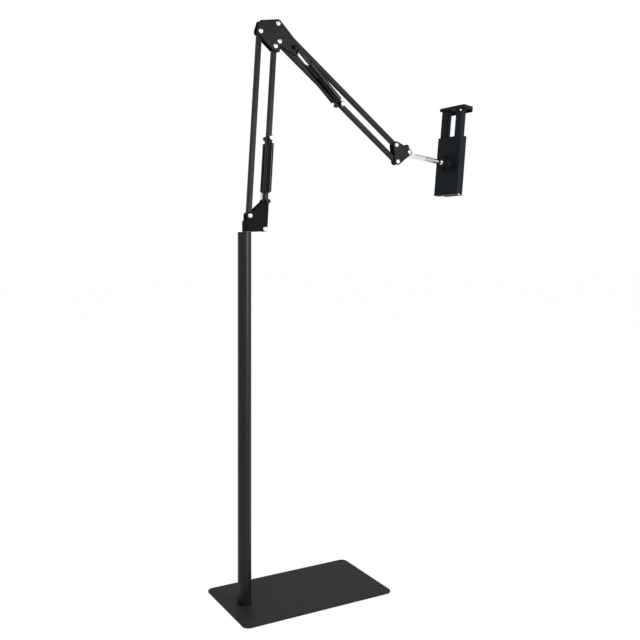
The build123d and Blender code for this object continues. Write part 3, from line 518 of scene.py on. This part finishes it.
def makeCoilRule():
    tree, given = newRule("closeCoil", {
        "Coil Radius": "Float", "Wire Radius": "Float", "Pitch": "Float", "Turns": "Float",
        "Coil Start": "Float", "Steps Per Turn": "Float", "Wire Sides": "Int"})
    count = addNode(tree, "ShaderNodeMath", {0: given["Turns"], 1: given["Steps Per Turn"]},
                    operation="MULTIPLY")
    points = addNode(tree, "GeometryNodeMeshLine", {"Count": count})
    index = addNode(tree, "GeometryNodeInputIndex")
    turn = addNode(tree, "ShaderNodeMath", {0: index, 1: given["Steps Per Turn"]}, operation="DIVIDE")
    angle = addNode(tree, "ShaderNodeMath", {0: turn, 1: 2 * math.pi, 2: math.pi / 2},
                    operation="MULTIPLY_ADD")
    cosine = addNode(tree, "ShaderNodeMath", {0: angle}, operation="COSINE")
    sine = addNode(tree, "ShaderNodeMath", {0: angle}, operation="SINE")
    x = addNode(tree, "ShaderNodeMath", {0: cosine, 1: given["Coil Radius"]}, operation="MULTIPLY")
    y = addNode(tree, "ShaderNodeMath", {0: sine, 1: given["Coil Radius"]}, operation="MULTIPLY")
    z = addNode(tree, "ShaderNodeMath", {0: turn, 1: given["Pitch"], 2: given["Coil Start"]},
                operation="MULTIPLY_ADD")
    spot = addNode(tree, "ShaderNodeCombineXYZ", {"X": x, "Y": y, "Z": z})
    wound = addNode(tree, "GeometryNodeSetPosition", {"Geometry": points, "Position": spot})
    coil = addNode(tree, "GeometryNodeMeshToCurve", {"Mesh": wound})
    hook = addNode(tree, "GeometryNodeMeshToCurve", {"Mesh": given["Geometry"]})
    path = addNode(tree, "GeometryNodeJoinGeometry", {"Geometry": [coil, hook]})
    ring = addNode(tree, "GeometryNodeCurvePrimitiveCircle", {
        "Resolution": given["Wire Sides"], "Radius": given["Wire Radius"]})
    wire = addNode(tree, "GeometryNodeCurveToMesh", {
        "Curve": path, "Profile Curve": ring, "Fill Caps": True})
    smooth = addNode(tree, "GeometryNodeSetShadeSmooth", {"Geometry": wire})
    return closeRule(tree, given, smooth)


coilRule = makeCoilRule()


def growCoil(name, wire, path, pitch, turns, start, material):  # path, pitch and start are in metres
    return grow(name, coilRule, path, [(i, i + 1) for i in range(len(path) - 1)], {
        "Coil Radius": wire["coilRadius"] / perMetre, "Wire Radius": wire["wireRadius"] / perMetre,
        "Pitch": pitch, "Turns": float(turns), "Coil Start": start,
        "Steps Per Turn": float(wire["stepsPerTurn"]), "Wire Sides": wire["wireSides"]}, material)


def hookPoints(coilStart):  # loop round the stud, then up and into the first curl
    radius, rise = springs["coilRadius"], springs["hookRise"]
    points = [Vector((-radius, 0, springs["hookEnd"]))]
    for i in range(springs["loopSteps"] + 1):
        turn = math.pi * i / springs["loopSteps"]
        points.append(Vector((-radius * math.cos(turn), 0, -radius * math.sin(turn))))
    points.append(Vector((radius, 0, coilStart - rise)))
    for i in range(1, springs["riseSteps"] + 1):
        share = i / springs["riseSteps"]
        turn = math.pi / 2 * share * share
        height = coilStart - rise * (1 - share) ** 2
        points.append(Vector((radius * math.cos(turn), radius * math.sin(turn), height)))
    return [point / perMetre for point in points]


for arm in ("lower", "upper"):
    spring = springs[arm]
    turns = (spring["coilEnd"] - spring["coilStart"]) / springs["pitch"]
    for side, y in (("near", -springs["side"]), ("far", springs["side"])):
        piece = growCoil(arm + "_spring_" + side + "_coil", springs, hookPoints(spring["coilStart"]),
                         springs["pitch"] / perMetre, turns, spring["coilStart"] / perMetre,
                         finish["temperedWire"])
        start = beside(pivots[arm + "Anchor"][0], y)
        along = (beside(pivots[arm + "Bolt"][0], y) - start).normalized()
        acrossWay = along.cross(Vector((0, 1, 0)))
        putAlong(piece, start, acrossWay, along.cross(acrossWay), along)
        settle(piece, arm + "_spring_" + side)
print("stage: springs")


# bolts with a domed chrome head on the near side
bolts = {
    "headRadius": 4.6, "rimHeight": 0.5, "domeHeight": 1.9, "shankRadius": 2.5, "sides": 40,
    "domeRings": 20, "domeFrom": -0.01,  # the dome is what a ball of radius 1 has above this, flattened
    "shadeAngle": 40,
    "seats": {  # where each head rests and where its shank ends, across the arm, and its pivots
        "base_pivot_bolts": (-7.7, 11.2, "base"), "elbow_pivot_bolts": (-7.7, 11.2, "elbow"),
        "head_pivot_bolts": (-7.7, 11.2, "head"), "tilt_bolt": (-7.7, 15.0, "tilt"),
        "lower_spring_bolt": (-13.8, 17.3, "lowerBolt"), "upper_spring_bolt": (-13.8, 17.3, "upperBolt"),
    },
}


def makeBoltRule():
    tree, given = newRule("domedBolts", {
        "Head Radius": "Float", "Rim Height": "Float", "Dome Height": "Float",
        "Shank Radius": "Float", "Shank Length": "Float", "Sides": "Int"})
    rim = addNode(tree, "GeometryNodeMeshCylinder", {
        "Vertices": given["Sides"], "Radius": given["Head Radius"], "Depth": given["Rim Height"]})
    ball = addNode(tree, "GeometryNodeMeshUVSphere", {
        "Segments": given["Sides"], "Rings": bolts["domeRings"], "Radius": 1.0})
    parts = addNode(tree, "ShaderNodeSeparateXYZ", {0: addNode(tree, "GeometryNodeInputPosition")})
    below = addNode(tree, "ShaderNodeMath", {0: parts.outputs["Z"], 1: bolts["domeFrom"]},
                    operation="LESS_THAN")
    half = addNode(tree, "GeometryNodeDeleteGeometry", {"Geometry": ball, "Selection": below})
    domeSize = addNode(tree, "ShaderNodeCombineXYZ", {
        "X": given["Head Radius"], "Y": given["Head Radius"], "Z": given["Dome Height"]})
    domePlace = addNode(tree, "ShaderNodeCombineXYZ", {"Z": given["Rim Height"]})
    dome = addNode(tree, "GeometryNodeTransform", {
        "Geometry": half, "Translation": domePlace, "Scale": domeSize})
    shank = addNode(tree, "GeometryNodeMeshCylinder", {
        "Vertices": given["Sides"], "Radius": given["Shank Radius"], "Depth": given["Shank Length"]})
    rimPut = lifted(tree, rim, given["Rim Height"], 0.5)
    shankPut = lifted(tree, shank, given["Shank Length"], -0.5)
    bolt = addNode(tree, "GeometryNodeJoinGeometry", {"Geometry": [rimPut, dome, shankPut]})
    placed = addNode(tree, "GeometryNodeInstanceOnPoints", {
        "Points": given["Geometry"], "Instance": bolt, "Rotation": (math.pi / 2, 0, 0)})
    return closeRule(tree, given, placed)


boltRule = makeBoltRule()
for node, (seat, end, pivotSet) in bolts["seats"].items():
    piece = grow(node + "_domed", boltRule, [beside(spot, seat) for spot in pivots[pivotSet]], [], {
        "Head Radius": bolts["headRadius"] / perMetre, "Rim Height": bolts["rimHeight"] / perMetre,
        "Dome Height": bolts["domeHeight"] / perMetre, "Shank Radius": bolts["shankRadius"] / perMetre,
        "Shank Length": (end - seat) / perMetre, "Sides": bolts["sides"]}, finish["chromePlate"])
    shadeByAngle(piece, bolts["shadeAngle"])
    settle(piece, node)

# lock nuts, with a collar on the outside of the hexagon
nuts = {
    "cornerRadius": 4.6, "collarRadius": 3.75, "sides": 36, "shadeAngle": 30,
    "collarTaper": 0.9,  # radius of the collar's outer end as a share of its radius at the hexagon
    # height, the collar's part of it, distance of the seat from the arm's middle, pivots, and the sides
    # that carry a nut: 1 for the far side and -1 for the near one
    "seats": {
        "base_pivot_nuts": (3.5, 0.9, 7.7, "base", (1,)), "elbow_pivot_nuts": (3.5, 0.9, 7.7, "elbow", (1,)),
        "head_pivot_nuts": (3.5, 0.9, 7.7, "head", (1,)),
        "lower_spring_nut": (3.5, 0.9, 13.8, "lowerBolt", (1,)),
        "upper_spring_nut": (3.5, 0.9, 13.8, "upperBolt", (1,)),
        "base_anchor_nuts": (3.0, 0.7, 13.3, "lowerAnchor", (1, -1)),
        "elbow_anchor_nuts": (3.0, 0.7, 13.3, "upperAnchor", (1, -1)),
    },
}


def makeNutRule():
    tree, given = newRule("lockNuts", {
        "Corner Radius": "Float", "Hex Height": "Float", "Collar Radius": "Float",
        "Collar Height": "Float", "Far Turn": "Float", "Sides": "Int"})
    hexagon = addNode(tree, "GeometryNodeMeshCylinder", {
        "Vertices": 6, "Radius": given["Corner Radius"], "Depth": given["Hex Height"]})
    collarTop = addNode(tree, "ShaderNodeMath", {0: given["Collar Radius"], 1: nuts["collarTaper"]},
                        operation="MULTIPLY")
    collar = addNode(tree, "GeometryNodeMeshCone", {
        "Vertices": given["Sides"], "Radius Top": collarTop, "Radius Bottom": given["Collar Radius"],
        "Depth": given["Collar Height"]})
    hexPut = lifted(tree, hexagon, given["Hex Height"], 0.5)
    collarPut = lifted(tree, collar, given["Hex Height"], 1.0)
    nut = addNode(tree, "GeometryNodeJoinGeometry", {"Geometry": [hexPut, collarPut]})
    turn = addNode(tree, "ShaderNodeCombineXYZ", {"X": given["Far Turn"]})
    placed = addNode(tree, "GeometryNodeInstanceOnPoints", {
        "Points": given["Geometry"], "Instance": nut, "Rotation": turn})
    return closeRule(tree, given, placed)


nutRule = makeNutRule()
for node, (height, collarHeight, seat, pivotSet, facings) in nuts["seats"].items():
    sets = []
    for facing in facings:
        points = [beside(spot, facing * seat) for spot in pivots[pivotSet]]
        sets.append(grow(node + "_locked", nutRule, points, [], {
            "Corner Radius": nuts["cornerRadius"] / perMetre,
            "Collar Radius": nuts["collarRadius"] / perMetre,
            "Hex Height": (height - collarHeight) / perMetre, "Collar Height": collarHeight / perMetre,
            "Far Turn": -facing * math.pi / 2, "Sides": nuts["sides"]}, finish["blackOxide"]))
    piece = joined(node + "_locked", sets)
    shadeByAngle(piece, nuts["shadeAngle"])
    settle(piece, node)
print("stage: bolts and nuts")


# the holder's own directions, and the middle of its shell's back face
shellBack = 15.0  # from the ball's middle
outward = jointAxis["holder_spin"]
upward = jointAxis["jaw_slide"]
acrossHolder = outward.cross(upward)
holderBack = jointPlace["holder_spin"] + outward * (shellBack / perMetre)


def inHolder(across, out, up):  # millimetres in the holder's own directions to a place in the scene
    return holderBack + (acrossHolder * across + outward * out + upward * up) / perMetre


# ribbed rubber pads on the two jaws; the ribs run outwards from the shell
ribbedPads = {
    "baseHeight": 0.8, "ribRise": 0.7, "ribWidth": 1.2, "pitch": 2.0, "depth": 8.0, "fromBack": 20.0,
    "pads": {  # half width, height of the glued face above the holder's middle, the way that the ribs point
        "lower_pad": (18.0, -58.3, 1), "upper_pad": (26.0, 116.7, -1),
    },
}


def makePadRule():
    tree, given = newRule("ribbedPad", {
        "Length": "Float", "Depth": "Float", "Base Height": "Float", "Rib Rise": "Float",
        "Rib Width": "Float", "Pitch": "Float", "Ribs": "Int"})
    baseSize = addNode(tree, "ShaderNodeCombineXYZ", {
        "X": given["Length"], "Y": given["Depth"], "Z": given["Base Height"]})
    base = addNode(tree, "GeometryNodeMeshCube", {"Size": baseSize})
    ribSize = addNode(tree, "ShaderNodeCombineXYZ", {
        "X": given["Rib Width"], "Y": given["Depth"], "Z": given["Rib Rise"]})
    rib = addNode(tree, "GeometryNodeMeshCube", {"Size": ribSize})
    between = addNode(tree, "ShaderNodeMath", {0: given["Ribs"], 1: -1.0}, operation="ADD")
    span = addNode(tree, "ShaderNodeMath", {0: between, 1: given["Pitch"]}, operation="MULTIPLY")
    first = addNode(tree, "ShaderNodeMath", {0: span, 1: -0.5}, operation="MULTIPLY")
    middle = addNode(tree, "ShaderNodeMath", {0: given["Rib Rise"], 1: 0.5, 2: given["Base Height"]},
                     operation="MULTIPLY_ADD")
    startPlace = addNode(tree, "ShaderNodeCombineXYZ", {"X": first, "Z": middle})
    step = addNode(tree, "ShaderNodeCombineXYZ", {"X": given["Pitch"]})
    row = addNode(tree, "GeometryNodeMeshLine", {
        "Count": given["Ribs"], "Start Location": startPlace, "Offset": step})
    ribs = addNode(tree, "GeometryNodeInstanceOnPoints", {"Points": row, "Instance": rib})
    basePut = lifted(tree, base, given["Base Height"], 0.5)
    pad = addNode(tree, "GeometryNodeJoinGeometry", {"Geometry": [basePut, ribs]})
    return closeRule(tree, given, pad)


padRule = makePadRule()
for node, (halfWidth, level, way) in ribbedPads["pads"].items():
    piece = grow(node + "_ribbed", padRule, [(0, 0, 0)], [], {
        "Length": 2 * halfWidth / perMetre, "Depth": ribbedPads["depth"] / perMetre,
        "Base Height": ribbedPads["baseHeight"] / perMetre, "Rib Rise": ribbedPads["ribRise"] / perMetre,
        "Rib Width": ribbedPads["ribWidth"] / perMetre, "Pitch": ribbedPads["pitch"] / perMetre,
        "Ribs": int(2 * halfWidth / ribbedPads["pitch"])}, finish["siliconeRubber"])
    place = inHolder(0, ribbedPads["fromBack"], level)
    putAlong(piece, place, acrossHolder * way, outward, upward * way)
    settle(piece, node)
print("stage: pads")


# two stretched springs inside the shell, from its floor up to the sliding jaw; baked in place and attached to no
# body
jawSprings = {
    "coilRadius": 2.6, "wireRadius": 0.35, "turns": 20, "stepsPerTurn": 18, "wireSides": 6, "foot": 0.6,
    "fromMiddle": 9.0, "fromBack": 8.0, "low": -59.2, "high": 7.7,
}
radius = jawSprings["coilRadius"] / perMetre
foot = jawSprings["foot"] / perMetre
pitch = ((jawSprings["high"] - jawSprings["low"]) / perMetre - 2 * foot) / jawSprings["turns"]
coils = []
for side in (-1, 1):
    coil = growCoil("jaw_spring_coil", jawSprings, [(0, radius, 0), (0, radius, foot)],
                    pitch, jawSprings["turns"], foot, finish[finishOfNode["jaw_springs"]])
    place = inHolder(side * jawSprings["fromMiddle"], jawSprings["fromBack"], jawSprings["low"])
    putAlong(coil, place, acrossHolder, outward, upward)
    coils.append(coil)
piece = joined("jaw_springs_coil", coils)
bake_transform(piece)
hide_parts("jaw_springs")
print("stage: jaw springs")
